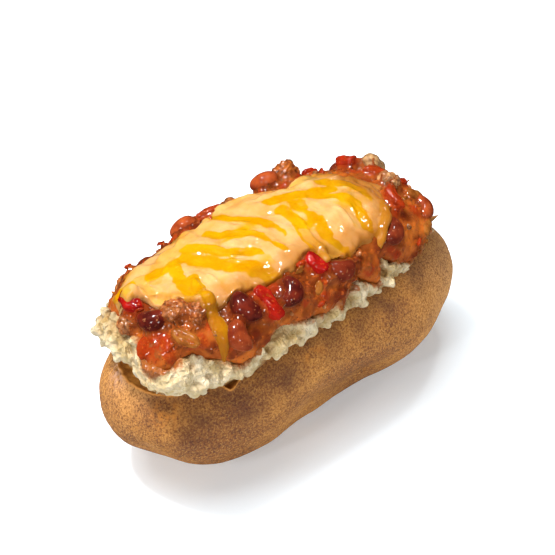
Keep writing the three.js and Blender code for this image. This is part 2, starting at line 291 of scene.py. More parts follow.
down = np.array([0.0, 0.0, -1.0])
sweep = np.arccos(rim_directions @ down)[None, :, None]
share = (np.arange(SKIN_ROWS)[:, None, None] / SKIN_ROWS) ** 1.25
directions = (np.sin((1 - share) * sweep) * rim_directions + np.sin(share * sweep) * down) / np.sin(sweep)
skin, outward = potato(directions)

EYES = [  # place, reach, height: small dents where sprouts grew, and the knob and crease at the near end
    ((-69.4, -14.0, 39.0), 3.5, 0.9),
    ((-66.5, -17.5, 40.1), 2.6, 0.4),
    ((-72.0, -13.2, 22.5), 4.0, -1.5),
    ((13.2, -30.0, 19.0), 2.6, -1.3),
    ((55.4, -28.0, 30.7), 1.8, -0.6),
    ((20.0, 34.0, 26.0), 2.6, -1.2),
    ((-34.0, 31.0, 34.0), 2.4, -1.1),
    ((60.0, 16.0, 22.0), 2.3, -1.0),
    ((-10.0, 33.0, 12.0), 2.5, -1.2),
    ((44.0, -22.0, 11.0), 2.2, -0.9),
]
relief = 0.75 * soft_noise(skin, 27, 4) + 0.26 * soft_noise(skin, 10, 5) + 0.05 * soft_noise(skin, 3, 6)
lengthwise = skin * [0.35, 1.0, 1.0]
wrinkles = np.exp(-((soft_noise(lengthwise, 5, 7) / 0.07) ** 2))
wrinkles *= ease(soft_noise(skin, 18, 8), -0.1, 0.4)
relief -= 0.16 * wrinkles
for place, reach, height in EYES:
    relief += height * near(skin * [0.6, 1, 1], np.array(place) * [0.6, 1, 1], reach)
STAR = np.array([-16.2, -30.2, 47.4])  # where wrinkles run together
off = skin - STAR
star_turn = np.arctan2(off[..., 2] * 0.8 - off[..., 1] * 0.5, off[..., 0])
star_far = np.linalg.norm(off, axis=-1)
star = np.maximum(np.cos(2.5 * star_turn + 0.6), 0) ** 10 * np.exp(-(((star_far - 3.0) / 2.6) ** 2))
relief -= 0.5 * star
from_rim = np.linalg.norm(skin - skin[0], axis=-1)
relief += (0.45 + 0.3 * soft_noise(skin, 6, 9)) * np.exp(-((from_rim / 1.3) ** 2))
scab = near(skin, (-66.1, 6.0, 43.0), 4.4) * ease(soft_noise(skin, 1.6, 10), -0.5, 0.2)
scar = near(skin, (-66.5, -17.2, 40.0), 4.2) * ease(soft_noise(skin, 2.2, 11), -0.5, 0.3)
relief += 0.8 * scab + 0.3 * scar
skin = skin + outward * relief[..., None]

# The rim, a loose tongue of skin at its far end, the thin torn edge, and the pocket inside.
TONGUE_PLACE, TONGUE_REACH, TONGUE_TALL = (62.0, -13.5), 4.5, 10.0
SKIN_THICK = 0.7
rim = skin[0]
rim_out = unit(np.stack([rim_x / (SLIT_LENGTH / 2) ** 2, rim_y / (SLIT_WIDTH / 2) ** 2, 0 * rim_x], 1))
tongue = near(rim[:, :2], TONGUE_PLACE, TONGUE_REACH)
stand = (0.15 + 0.25 * np.abs(soft_noise(loop, 3, 12)) + TONGUE_TALL * tongue)[:, None]
up_and_out = unit(np.array([0.0, 0.0, 1.0]) + (0.15 + 0.75 * tongue[:, None]) * rim_out)
lip = np.stack([rim + up_and_out * stand * a for a in (0.35, 0.7, 1.0)])
lip_inside = np.stack([rim + up_and_out * stand * a - rim_out * SKIN_THICK for a in (0.95, 0.55, 0.1)])
POCKET = [(1.0, 0.6), (1.6, 1.2), (2.6, 1.8), (4.2, 2.4), (7.0, 3.0), (12.0, 3.6)]  # how far in, how deep
pocket = np.stack([rim - rim_out * inward - np.array([0, 0, depth]) for inward, depth in POCKET])
pocket += 0.5 * soft_noise(pocket, 3, 13)[..., None]

skin_rows = np.concatenate([skin[::-1], lip, lip_inside, pocket])
skin_points = closed(skin_rows)
skin_points[:, 2] = (skin_points[:, 2] + np.sqrt(skin_points[:, 2] ** 2 + 0.3)) / 2  # flat where it rests


def over_rows(outer, lip_value, inner_value):
    """Values for all points of the skin, from those of its outside, its torn lip and its inside."""
    lip_values = np.broadcast_to(lip_value, (3, SKIN_AROUND))
    inner_values = np.broadcast_to(inner_value, (3 + len(POCKET), SKIN_AROUND))
    rows = np.concatenate([outer[::-1], lip_values, inner_values])
    return np.concatenate([[0], rows.ravel(), [np.median(inner_value)]])


BROWN_AND_SHADED = [  # place and reach of skin painted darker below the rim: browner skin, and painted shade under the flesh
    ((-60, -26, 37), 11),
    ((-45, -31, 39), 12),
    ((-30, -32, 43), 11),
    ((-8, -32, 46), 8),
    ((6, -31, 45), 8),
    ((20, -30, 45), 9),
    ((38, -26, 44), 7),
    ((60, -18, 42), 8),
]
# Painted shade: a dark band just under the rim on the front, where the flesh overhangs, and the patches
# above, which are also browner skin.
shade_and_brown = 0.8 * np.exp(-((from_rim / 9) ** 2)) * ease(-outward[..., 1], -0.2, 0.5)
for place, reach in BROWN_AND_SHADED:
    shade_and_brown = np.maximum(shade_and_brown, near(skin, place, reach))
shade_and_brown = shade_and_brown * (0.8 + 0.4 * soft_noise(skin, 6, 14))
# The torn edge's mark: paler skin, and a painted highlight along the rim.
torn_outside = np.exp(-((from_rim / 0.35) ** 2))
on_tongue = ease(tongue, 0.05, 0.3)
painted_light_ends = 0.6 * near(skin, (-70, 0, 46), 11) + 0.6 * near(skin, (64, -24, 26), 26)  # painted light: both ends made paler
skin_marks = {
    "inside": over_rows(0 * relief, 0.0, 1 - 0.9 * on_tongue),
    "torn_edge_and_highlight": over_rows(torn_outside, 1 - 0.8 * on_tongue, 0.0),
    "scab": over_rows(scab, 0.0, 0.0),
    "scar": over_rows(scar + 0.8 * star, 0.0, 0.0),
    "painted_light_ends": over_rows(painted_light_ends, 0.0, 0.0),
    "shade_and_brown": over_rows(np.clip(shade_and_brown, 0, 1), 0.3 + 0.5 * on_tongue, 0.9 * on_tongue),
}

skin_finish, start, place = new_finish("baked_skin")
streaky = place.add("Mapping", {}, {"Vector": place, "Scale": (0.4, 1.0, 1.0)}, 0)
patches = grain(streaky, 11, 4.0, 0.6).between(0.4, 0.6)
cork = grain(place, 0.45, 4.0, 0.7)
flecks = grain(place, 0.35, 2.0, 0.6)
warm = patches.choose(tone(194, 134, 66), tone(152, 96, 46))
dark = patches.choose(tone(136, 84, 38), tone(98, 60, 38))
colour = cork.between(0.42, 0.58).choose(dark, warm)
colour = (flecks.between(0.54, 0.66) * 0.55).choose(colour, tone(210, 154, 84))
colour = (grain(place, 0.4, 2.0).between(0.56, 0.68) * 0.35).choose(colour, tone(84, 52, 48))
# Painted shade under the rim, on the torn lip and inside the loose tongue, with browner skin in the listed
# patches.
colour = (mark(start, "shade_and_brown") * 0.7).choose(colour, tone(74, 42, 34))
colour = (mark(start, "scar") * cork.between(0.35, 0.5)).choose(colour, tone(186, 116, 48))
# Painted light: the two ends are lightened where the cork is, as if more light fell on them.
colour = (mark(start, "painted_light_ends") * cork.between(0.36, 0.56)).choose(colour, tone(212, 158, 98))
colour = (mark(start, "scab") * 0.9).choose(colour, tone(206, 160, 132))
inner = grain(place, 2.0).between(0.4, 0.65).choose(tone(176, 112, 48), tone(226, 158, 74))
colour = mark(start, "inside").choose(colour, inner)
# The torn edge is paler, and carries a painted highlight along it.
colour = (mark(start, "torn_edge_and_highlight") * 0.85).choose(colour, tone(206, 138, 66))
height = cork * 0.7 + flecks * 0.3 + grain(place, 2.4, 3.0) * 1.2
finish_with(
    start,
    Base_Color=colour,
    Roughness=0.62 + 0.2 * cork,
    Specular_IOR_Level=0.12,
    Normal=bump(height, 0.4, 0.8),
)
skin_faces = ring_faces(len(skin_rows), SKIN_AROUND)
potato_skin = make_piece("potato_skin", skin_points, skin_faces, skin_finish, skin_marks)
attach(potato_skin, "root")
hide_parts("potato")

# ---- Fluffed flesh ----
# The white flesh, forked loose and heaped over the slit: moist, slightly see-through crumbs that cling.
# The heap and the crumbs stuck to it are one closed body. A few smaller crumbs lie loose on it.
HEAP_LENGTH, HEAP_WIDTH, HEAP_TOP, HEAP_EDGE = 136, 60, 70, 51
HEAP_LOBES = [(0, 40, 1), (-158, 12, 3), (-105, 26, -3), (152, 13, 3), (180, 14, -1.5), (122, 14, -2)]
HEAP_EDGE_LOBES = [(-105, 30, 3), (168, 24, 5), (-150, 16, 2)]
CHILI_EDGE = 0.8  # rho of the heap's line where the chili ends
CHILI_RUNS = [  # angle, width in degrees, how much further the chili runs there
    (166, 16, -0.13),
    (-163, 8, 0.1),
    (-149, 7, -0.12),
    (-125, 9, 0.14),
    (-112, 4, -0.06),
    (-97, 6, 0.12),
    (-89, 4, 0.16),
    (-83, 2.5, -0.06),
    (-76, 4, 0.2),
    (-70.5, 3, -0.16),
    (-48, 16, 0.42),
    (-14, 12, -0.06),
    (14, 16, 0.2),
    (90, 40, -0.06),
    (62, 8, -0.06),
    (82, 9, 0.08),
    (132, 18, -0.1),
]
CRUMBS = [  # how many, smallest, largest, how low on the heap
    (110, 5.5, 9.0, 1.0),
    (460, 3.0, 5.6, 1.06),
    (500, 1.8, 3.0, 1.12),
]
BIG_CRUMB = 5.5  # bigger ones lie deeper, and further from the chili
FACETS = 8
SQUASHED = (1.25, 0.9, 0.7)
CLUMPS = [  # angle, rho, how wide in degrees, how many crumbs
    (-154, 0.9, 6, 26),
    (-146, 0.97, 4, 22),
    (-136, 0.98, 3, 10),
    (-164, 0.86, 5, 14),
    (176, 0.9, 6, 12),
    (-111, 0.98, 3, 8),
    (-101, 1.0, 3, 10),
    (-92, 1.0, 3, 10),
    (-83, 0.98, 2, 8),
    (-70.5, 0.98, 2, 9),
]


def heap(rho, degrees):
    """A point of the heap: rho is 0 at its top, 1 at its widest line, and more below that."""
    alpha = np.radians(90 * rho)
    c = np.cos(alpha)
    spread = np.sin(alpha) ** (0.8 - 0.3 * np.cos(np.radians(degrees)) ** 2)
    x, y = oval(degrees, HEAP_LENGTH, HEAP_WIDTH, lobes(HEAP_LOBES, degrees))
    drop = 15 * np.maximum(0, 2 * x * spread / HEAP_LENGTH) ** 4
    edge = HEAP_EDGE + lobes(HEAP_EDGE_LOBES, degrees)
    top = np.maximum(HEAP_TOP - drop, edge)
    z = np.where(c > 0, edge + (top - edge) * np.maximum(c, 0) ** 0.9, edge + 12 * c)
    spread = np.where(c > 0, spread, 1 - 0.4 * (1 - spread))
    return np.stack([x * spread + SLIT_CENTRE[0], y * spread + SLIT_CENTRE[1], z], -1) - MIDDLE


def over_heap(rho, degrees, lift):
    """A point at a height over the heap's surface."""
    rho, degrees = np.broadcast_arrays(np.asarray(rho, float), np.asarray(degrees, float))
    a = np.maximum(rho, 0.004)
    across = heap(a, degrees + 0.5) - heap(a, degrees - 0.5)
    outward = heap(a + 0.004, degrees) - heap(a - 0.004, degrees)
    return heap(rho, degrees) + unit(np.cross(outward, across)) * np.asarray(lift)[..., None]


def crumbs_relief(points, size):
    """1 at the tops of crumbs packed side by side, about size across, and 0 between them."""
    flat = np.asarray(points).reshape(-1, 3) / size
    nearest = np.array([noise.voronoi(Vector(p))[0][0] for p in flat.tolist()])
    return (1 - np.clip(nearest, 0, 1)).reshape(np.shape(points)[:-1])


def chili_edge(degrees):
    return CHILI_EDGE + lobes(CHILI_RUNS, degrees)


def ball(level):
    """Directions evenly over a ball, and the triangles between them."""
    round_mesh = bmesh.new()
    bmesh.ops.create_icosphere(round_mesh, subdivisions=level, radius=1)
    directions = np.array([v.co for v in round_mesh.verts])
    faces = np.array([[v.index for v in f.verts] for f in round_mesh.faces])
    round_mesh.free()
    return unit(directions), faces


def turned(random, count):
    """Random turns, as rows of three axes."""
    first = unit(random.normal(size=(count, 3)))
    second = unit(np.cross(first, random.normal(size=(count, 3))))
    return np.stack([first, second, np.cross(first, second)], 1)


def crumb_shapes(random, directions, count, facets):
    """Unit crumbs: balls with a few flat, rounded facets broken off each."""
    shapes = np.repeat(directions[None], count, 0)
    for _ in range(facets):
        normal = unit(random.normal(size=(count, 3)))
        reach = random.uniform(0.4, 0.85, size=count)
        beyond = np.einsum("cvk,ck->cv", shapes, normal) - reach[:, None]
        shapes = shapes - np.maximum(beyond, 0)[..., None] * normal[:, None, :] * 0.92
    return shapes


def strewn(random, level, facets, sizes, squash, places):
    """Points and triangles of many crumbs, each at its place, squashed and turned at random."""
    count = len(places)
    directions, faces = ball(level)
    shapes = crumb_shapes(random, directions, count, facets)
    squashed = shapes * np.array(squash) * random.uniform(0.8, 1.2, size=(count, 1, 3))
    laid = np.einsum("cvk,ckl->cvl", squashed * (sizes / 2)[:, None, None], turned(random, count))
    points = (laid + places[:, None, :]).reshape(-1, 3)
    all_faces = (faces[None] + np.arange(count)[:, None, None] * len(directions)).reshape(-1, 3)
    return points, all_faces


def scattered(random, count, low_rho, high_rho):
    """Random places evenly along the heap's outline, between two heights on it."""
    found = []
    while len(found) < count:
        degrees = random.uniform(-180, 180)
        step = np.linalg.norm(heap(0.9, degrees + 1.0) - heap(0.9, degrees - 1.0))
        rho = random.uniform(min(low_rho(degrees), high_rho(degrees)), high_rho(degrees))
        if random.uniform() * 3.2 < step:
            found.append((rho, degrees))
    return np.array(found).T


def fused(points, faces, voxel, relax_rounds):
    """One closed surface round overlapping closed pieces, in even squares, relaxed."""
    mesh = bpy.data.meshes.new("fusing")
    mesh.from_pydata(np.asarray(points).tolist(), [], [list(f) for f in faces])
    thing = bpy.data.objects.new("fusing", mesh)
    bpy.context.scene.collection.objects.link(thing)
    remesh = thing.modifiers.new("fuse", "REMESH")
    remesh.mode = "VOXEL"
    remesh.voxel_size = voxel
    made = thing.evaluated_get(bpy.context.evaluated_depsgraph_get()).to_mesh()
    out = np.array([v.co for v in made.vertices])
    quads = np.array([list(p.vertices) for p in made.polygons if len(p.vertices) == 4])
    bpy.data.objects.remove(thing)
    bpy.data.meshes.remove(mesh)
    return relaxed(out, quads, relax_rounds), quads


def relaxed(points, quads, rounds):
    """Each point drawn towards its neighbours' middle and back, which smooths without shrinking."""
    ends = np.concatenate([quads[:, [0, 1]], quads[:, [1, 2]], quads[:, [2, 3]], quads[:, [3, 0]]])
    ends = np.concatenate([ends, ends[:, ::-1]])
    count = np.bincount(ends[:, 0], minlength=len(points))[:, None]
    for move in [0.5, -0.53] * rounds:
        sums = [np.bincount(ends[:, 0], points[ends[:, 1], k], len(points)) for k in range(3)]
        points = points + move * (np.stack(sums, 1) / np.maximum(count, 1) - points)
    return points


def point_normals(points, quads):
    a, b, c, d = (points[quads[:, k]] for k in range(4))
    face = np.cross(c - a, d - b)
    sums = [
        sum(np.bincount(quads[:, k], face[:, axis], len(points)) for k in range(4)) for axis in range(3)
    ]
    return unit(np.stack(sums, 1))


def stacked(shapes):
    """Several shapes, each points and faces, as one list of points and one of faces."""
    points, faces, first = [], [], 0
    for own_points, own_faces in shapes:
        points.append(own_points)
        faces += [[first + v for v in f] for f in np.asarray(own_faces, object).tolist()]
        first += len(own_points)
    return np.concatenate(points), faces


FLESH_AROUND = 240
flesh_angles = all_round(FLESH_AROUND)
flesh_rho = np.concatenate([[0.15, 0.3, 0.42], np.linspace(0.5, 1.42, 36), [1.52, 1.6]])
rho_grid, angle_grid = np.meshgrid(flesh_rho, flesh_angles, indexing="ij")
flesh = over_heap(rho_grid, angle_grid, 0 * rho_grid)
way_out = unit(over_heap(rho_grid, angle_grid, 0 * rho_grid + 1) - flesh)
uneven = 0.9 * soft_noise(flesh, 9, 20) + 0.5 * soft_noise(flesh, 4, 22) - 1.3
flesh = flesh + way_out * (uneven * ease(rho_grid, 0.35, 0.6))[..., None]

random = np.random.default_rng(7)
stuck = [(closed(flesh), ring_faces(len(flesh_rho), FLESH_AROUND))]
for count, smallest, largest, lowest in CRUMBS:
    rho, degrees = scattered(random, count, lambda d: chili_edge(d) - 0.03, lambda d: lowest)
    sizes = random.uniform(smallest, largest, size=count)
    big = sizes > BIG_CRUMB
    rho = np.maximum(rho, chili_edge(degrees) + np.where(big, 0.07, 0.0))
    places = over_heap(rho, degrees, np.where(big, -0.12, 0.14) * sizes)
    stuck.append(strewn(random, 2 if smallest > 2 else 1, FACETS, sizes, SQUASHED, places))
for at, rho, wide, count in CLUMPS:
    degrees = at + wide * random.uniform(-1, 1, size=count)
    rhos = rho + 0.09 * random.uniform(-1, 1, size=count)
    sizes = random.uniform(3.0, 6.5, size=count)
    places = over_heap(rhos, degrees, random.uniform(0.0, 2.6, size=count))
    stuck.append(strewn(random, 2, FACETS, sizes, SQUASHED, places))
FLESH_SQUARES = 0.56  # how fine its mesh is
clump_points, clump_quads = fused(*stacked(stuck), FLESH_SQUARES, 0)
by_rho = kdtree.KDTree(rho_grid.size)
for index, point in enumerate(flesh.reshape(-1, 3).tolist()):
    by_rho.insert(point, index)
by_rho.balance()


def soaked(points):
    """Marks of the flesh: stained by chili, low on the heap, and painted shade in the pits between crumbs.
    """
    nearest = np.array([by_rho.find(p)[1] for p in points.tolist()])
    rho, degrees = rho_grid.ravel()[nearest], angle_grid.ravel()[nearest]
    past = rho - chili_edge(degrees) + 0.06 * soft_noise(points, 6, 21)
    raised = ((points - flesh.reshape(-1, 3)[nearest]) * way_out.reshape(-1, 3)[nearest]).sum(1)
    pit_shade = 1 - ease(raised, 0.8, 4.2)
    return {"stain": 1 - ease(past, -0.05, 0.02), "low": ease(rho, 1.1, 1.35), "pit_shade": pit_shade}


flesh_finish, start, place = new_finish("fluffed_flesh")
milky = grain(place, 3.5, 3.0).between(0.35, 0.65)
colour = milky.choose(tone(216, 198, 164), tone(182, 156, 104))
colour = (grain(place, 10, 2.0).between(0.5, 0.7) * 0.4).choose(colour, tone(208, 172, 104))
# Painted shade in the pits between crumbs.
colour = (mark(start, "pit_shade") * 0.85).choose(colour, tone(156, 112, 50))
colour = (mark(start, "stain") * 0.95).choose(colour, tone(152, 76, 0))
# Darker low on the heap, where it turns under towards the skin: browner flesh near the skin, and painted
# shade under the heap's bulge.
colour = (mark(start, "low") * 0.8).choose(colour, tone(150, 104, 54))
cells = {"Vector": place, "Scale": 0.5 / MM}
facets = place.add("TexVoronoi", {"distance": "MANHATTAN"}, cells, "Distance")
finish_with(
    start,
    Base_Color=colour,
    Roughness=0.42 + 0.2 * milky,
    Subsurface_Weight=0.15,
    Subsurface_Radius=(1.0, 0.75, 0.4),
    Subsurface_Scale=0.8 * MM,
    Coat_Weight=0.25,
    Coat_Roughness=0.18,
    Normal=bump(facets + 0.3 * grain(place, 0.8, 3.0, 0.6), 1.2, 0.9),
)
flesh_heap = make_piece("flesh_heap", clump_points, clump_quads, flesh_finish, soaked(clump_points))
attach(flesh_heap, "root")
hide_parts("flesh")

LOOSE_CRUMBS = 260
rho, degrees = scattered(random, LOOSE_CRUMBS, lambda d: chili_edge(d) + 0.04, lambda d: 1.1)
sizes = random.uniform(0.9, 2.0, size=LOOSE_CRUMBS)
points, faces = strewn(random, 2, 7, sizes, (1.2, 0.9, 0.7), over_heap(rho, degrees, 0.6 + 0 * rho))
flesh_crumbs = make_piece("flesh_crumbs", points, faces, flesh_finish, soaked(points))
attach(flesh_crumbs, "root")

# ---- Kidney beans ----
# Red kidney beans from the chili, cooked whole: taut glossy skins, dark red-brown, some coated in sauce.
# Each is its own piece, a kidney-shaped body with a dent at the scar where it joined its pod.
solids = []  # kind, points and faces of every piece in the chili, for the sauce and the cheese to lie on
SUNK = 0.5  # how far each has settled into the sauce


def seat(at, rho, turn, high):
    """Axes and middle of a piece in the chili: lengthwise, crosswise, away from the heap."""
    foot, above = over_heap(rho, at, 0.0), over_heap(rho, at, 1.0)
    up = unit(above - foot)
    ahead = unit(np.array([1.0, 0, 0]) - up[0] * up)
    sideways = np.cross(up, ahead)
    c, s = math.cos(math.radians(turn)), math.sin(math.radians(turn))
    ahead, sideways = c * ahead + s * sideways, c * sideways - s * ahead
    return np.stack([ahead, sideways, up]), foot + up * high


def lay(name, kind, local, faces, at, rho, turn, high, finish, marks=None):
    """Puts one piece's own shape in its place, as a piece that stands for its CAD node."""
    axes, middle = seat(at, rho, turn, high - SUNK)
    points = local @ axes + middle
    solids.append((kind, points, faces))
    thing = make_piece(name, points, faces, finish, marks)
    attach(thing, "root")
    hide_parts(name)
    return thing


BEANS = [  # angle, rho, turn, length, width, height, how high, how much sauce is on it
    (-174, 0.53, -43, 11, 7.6, 6.8, 5.9, 0.0),
    (-131, 0.44, -75, 12, 8.5, 7.5, 5.2, 0.0),
    (-131, 0.63, -95, 11, 7.6, 6.8, 4.8, 0.45),
    (-108, 0.52, 50, 11, 7.6, 6.8, 5.6, 0.0),
    (-87, 0.58, -20, 11, 7.6, 6.8, 5.2, 0.1),
    (-60, 0.58, 40, 11, 7.6, 6.8, 5.2, 0.2),
    (-33, 0.68, 60, 11, 7.6, 6.8, 4.7, 0.7),
    (40, 0.74, -40, 11, 7.6, 6.8, 5.2, 0.3),
    (74, 0.54, -18, 11, 7.6, 6.8, 7.0, 0.9),
    (104, 0.6, 0, 11, 7.6, 6.8, 5.4, 0.85),
    (122, 0.76, 30, 11, 7.6, 6.8, 2.4, 0.2),
]
bean_finish, start, place = new_finish("kidney_bean")
mottle = grain(place, 2.2, 2.0)
colour = mottle.between(0.38, 0.62).choose(tone(64, 16, 12), tone(98, 30, 18))
colour = (grain(place, 0.5, 1.0).between(0.66, 0.72) * 0.5).choose(colour, tone(170, 110, 70))
sauce_on_it = mottle.between(0.35, 0.65).choose(tone(134, 50, 22), tone(172, 80, 36))
colour = mark(start, "sauce").choose(colour, sauce_on_it)
finish_with(
    start,
    Base_Color=colour,
    Roughness=0.3,
    Specular_IOR_Level=0.05,
    Subsurface_Weight=0.1,
    Subsurface_Radius=(1.0, 0.3, 0.1),
    Subsurface_Scale=0.8 * MM,
    Coat_Weight=0.8,
    Coat_IOR=1.4,
    Coat_Roughness=0.07,
    Normal=bump(grain(place, 1.6, 2.0), 0.15, 0.5),
)
bean_ball, bean_faces = ball(4)
for number, (at, rho, turn, length, width, height, high, sauce) in enumerate(BEANS, 1):
    x, y, z = bean_ball.T
    round_end = np.sign(x) * np.abs(x) ** 0.92
    bent = width / 2 * y + 1.7 * (x * x - 0.4)
    dent = 0.8 * np.exp(-((x / 0.3) ** 2) - (z / 0.5) ** 2) * ease(y, 0.0, 0.8) * (-1.0)
    local = np.stack([length / 2 * round_end, bent + dent, height / 2 * z], 1)
    local *= 1 + 0.02 * soft_noise(local + number * 20, 3.5, 30)[:, None]
    lay(f"bean_{number}", "bean", local, bean_faces, at, rho, turn, high, bean_finish, {"sauce": sauce})

# ---- Tomato ----
# Pieces of diced tomato, stewed soft: bright red, wet and slightly see-through, with rounded corners.
# Some are chunks and some are strips whose skin has curled up.
TOMATOES = [  # angle, rho, turn, length, width, height, how high, how orange
    (171, 0.53, 50, 10, 8, 6, 6.6, 0.0),
    (-166, 0.66, -43, 13, 9, 3.8, 3.3, 0.7),
    (-120, 0.5, -76, 14, 6, 5, 7.0, 0.1),
    (-92, 0.43, -43, 9, 7, 5, 5.6, 0.0),
    (-34, 0.4, -114, 12, 5, 5, 6.3, 0.6),
    (-10, 0.45, -20, 6, 5, 5, 5.4, 0.5),
    (6, 0.36, -60, 9, 6, 5, 5.6, 0.7),
    (35, 0.54, -80, 9, 6, 5, 7.2, 0.4),
    (96, 0.52, -10, 10, 5, 5, 5.4, 0.8),
    (108, 0.8, 20, 9, 7, 5, 2.8, 0.5),
    (56, 0.74, 70, 9, 7, 5, 5.2, 0.3),
]
tomato_finish, start, place = new_finish("stewed_tomato")
pulp = grain(place, 2.6, 3.0)
colour = pulp.between(0.35, 0.65).choose(tone(120, 10, 10), tone(164, 24, 16))
orange = mark(start, "orange") * pulp.between(0.1, 0.42)
colour = orange.choose(colour, tone(138, 54, 14))
colour = (grain(place, 0.6, 1.0).between(0.64, 0.72) * 0.35).choose(colour, tone(196, 92, 36))
finish_with(
    start,
    Base_Color=colour,
    Roughness=0.22,
    Subsurface_Weight=0.3,
    Subsurface_Radius=(1.0, 0.25, 0.06),
    Subsurface_Scale=1.4 * MM,
    Specular_IOR_Level=0.05,
    Coat_Weight=0.8,
    Coat_Roughness=0.08,
    Normal=bump(grain(place, 1.0, 3.0), 0.3, 0.8),
)
tomato_ball, tomato_faces = ball(4)
for number, (at, rho, turn, length, width, height, high, orange) in enumerate(TOMATOES, 1):
    corners_out = 1 + 0.22 * (np.abs(tomato_ball).sum(1, keepdims=True) - 1)
    squared = unit(np.sign(tomato_ball) * np.abs(tomato_ball) ** 0.72) * corners_out
    local = squared * np.array([length, width, height]) / 2 * 0.92
    local[:, 2] += 0.9 * (local[:, 0] / length * 2) ** 2 - 0.4
    local[:, 1] += 0.9 * np.sin(local[:, 0] / length * 4 + number)
    own = local + number * 30
    local += tomato_ball * (0.5 * soft_noise(own, 3.2, 31) + 0.36 * soft_noise(own, 1.4, 32))[:, None]
    name, marks = f"tomato_{number}", {"orange": orange}
    lay(name, "tomato", local, tomato_faces, at, rho, turn, high, tomato_finish, marks)

# ---- Beef ----
# Crumbles of minced beef, browned and stewed in the chili: knobbly, open grain, wet with sauce.
# Each crumble is one lump with a coarse and a fine roughness.
BEEF = [  # angle, rho, turn, length, width, height, how high, how pale
    (-168, 0.42, 10, 10, 9, 7.5, 5.4, 0.15),
    (-156, 0.38, 60, 9, 8, 7, 5.2, 0.1),
    (175, 0.68, 0, 6, 6, 6, 3.6, 0.3),
    (-10, 0.36, 0, 8.5, 7.5, 6.5, 5.6, 0.75),
    (64, 0.54, 0, 10.5, 9.0, 8.0, 7.4, 0.0),
    (86, 0.78, 40, 9, 8, 7, 5.0, 0.2),
    (134, 0.76, 0, 8, 7, 6, 2.4, 0.2),
    (20, 0.52, 40, 11, 9, 8, 6.7, 1.0),
]
beef_finish, start, place = new_finish("stewed_beef")
knobs = grain(place, 1.3, 3.0, 0.6)
dark_meat = knobs.between(0.36, 0.62).choose(tone(72, 30, 10), tone(168, 88, 28))
pale_meat = knobs.between(0.36, 0.62).choose(tone(118, 80, 48), tone(188, 146, 96))
colour = mark(start, "pale").choose(dark_meat, pale_meat)
colour = (grain(place, 3.5, 1.0).between(0.5, 0.66) * 0.4).choose(colour, tone(150, 72, 26))
finish_with(
    start,
    Base_Color=colour,
    Roughness=0.3 + 0.3 * knobs,
    Specular_IOR_Level=0.2,
    Coat_Weight=0.8,
    Coat_Roughness=0.1,
    Normal=bump(grain(place, 0.7, 3.0, 0.65), 0.35, 0.8),
)


def crumble(directions, size, seed, knobbly):
    """A lump of mince: a ball pushed in and out, with knobs all over it."""
    local = directions * np.array(size) / 2
    far = local + seed * 40
    coarse = 0.16 * size[0] * soft_noise(far, size[0] * 0.5, 33)
    knobs = 1.3 * (crumbs_relief(far, 2.0) - 0.55) + 0.7 * (crumbs_relief(far + 9, 1.0) - 0.5)
    return local + directions * (coarse + knobbly * knobs)[:, None]


beef_ball, beef_faces = ball(5)
plain_ball, plain_faces = ball(4)
for number, (at, rho, turn, length, width, height, high, pale) in enumerate(BEEF, 1):
    finely_made = number in (1, 2, 4, 5)
    directions, faces = (beef_ball, beef_faces) if finely_made else (plain_ball, plain_faces)
    knobbly = 0.35 if number == 8 else 1.0  # the last is a smoother, paler chunk
    local = crumble(directions, (length, width, height), number, knobbly)
    lay(f"beef_{number}", "beef", local, faces, at, rho, turn, high, beef_finish, {"pale": pale})

# ---- Onion ----
# Strips of onion, stewed until they are see-through and amber, lying in the sauce.
# Each is a flat block with rounded corners that curls up a little at both ends.
ONIONS = [  # angle, rho, turn, length, width, height, how high
    (-154, 0.56, -66, 9, 4.6, 3, 6.0),
    (-24, 0.55, -30, 7, 5, 3, 5.6),
    (-44, 0.82, 20, 7, 4, 3, 5.2),
]
onion_finish, start, place = new_finish("stewed_onion")
veins = grain(place, 1.8, 2.0).between(0.35, 0.65)
finish_with(
    start,
    Base_Color=veins.choose(tone(118, 62, 20), tone(156, 94, 36)),
    Roughness=0.22,
    Subsurface_Weight=0.25,
    Subsurface_Radius=(1.0, 0.6, 0.25),
    Subsurface_Scale=1.2 * MM,
    Specular_IOR_Level=0.1,
    Coat_Weight=0.35,
    Coat_Roughness=0.08,
    Normal=bump(grain(place, 1.2, 2.0), 0.2, 0.5),
)
for number, (at, rho, turn, length, width, height, high) in enumerate(ONIONS, 1):
    squared = unit(np.sign(plain_ball) * np.abs(plain_ball) ** 0.6)
    local = squared * np.array([length, width, height]) / 2 * 1.1
    local[:, 2] += 0.6 * (local[:, 0] / length * 2) ** 2 - 0.2
    local += plain_ball * (0.25 * soft_noise(local + number * 20, 2.5, 34))[:, None]
    lay(f"onion_{number}", "onion", local, plain_faces, at, rho, turn, high, onion_finish)

# ---- Chili sauce ----
# The sauce that binds beans and beef: thick, glossy, orange-brown, full of fine mince and soft tomato.
# It is one body that clings round every piece in soft hollows and ends in rounded tongues on the flesh.
CHILI_AROUND = 260
CLING = 1.7  # how far the sauce bridges between pieces
MORSELS = 210
BOUND_SQUARES, SAUCE_SQUARES = 0.75, 0.62  # how fine the meshes are
sauce_angles = all_round(CHILI_AROUND)
round_edge = round_slit(sauce_angles)
sauce_edge = chili_edge(sauce_angles) + 0.06 * soft_noise(round_edge, 7, 40)
sauce_edge += 0.03 * soft_noise(round_edge, 2.8, 41)
sauce_rows = []
for part in np.concatenate([np.linspace(0.05, 0.9, 36), [0.94, 0.97, 0.99, 1.0]]):
    rho = part * sauce_edge
    under = over_heap(rho, sauce_angles, 0 * rho)
    thick = 3.6 + 1.2 * soft_noise(under, 8, 42) + 0.7 * soft_noise(under, 3.5, 43)
    thinning = 1 - ease(part, 0.7, 1.0) * 0.35
    sauce_rows.append(over_heap(rho, sauce_angles, thick * thinning * (1 - part**14) ** 0.5))
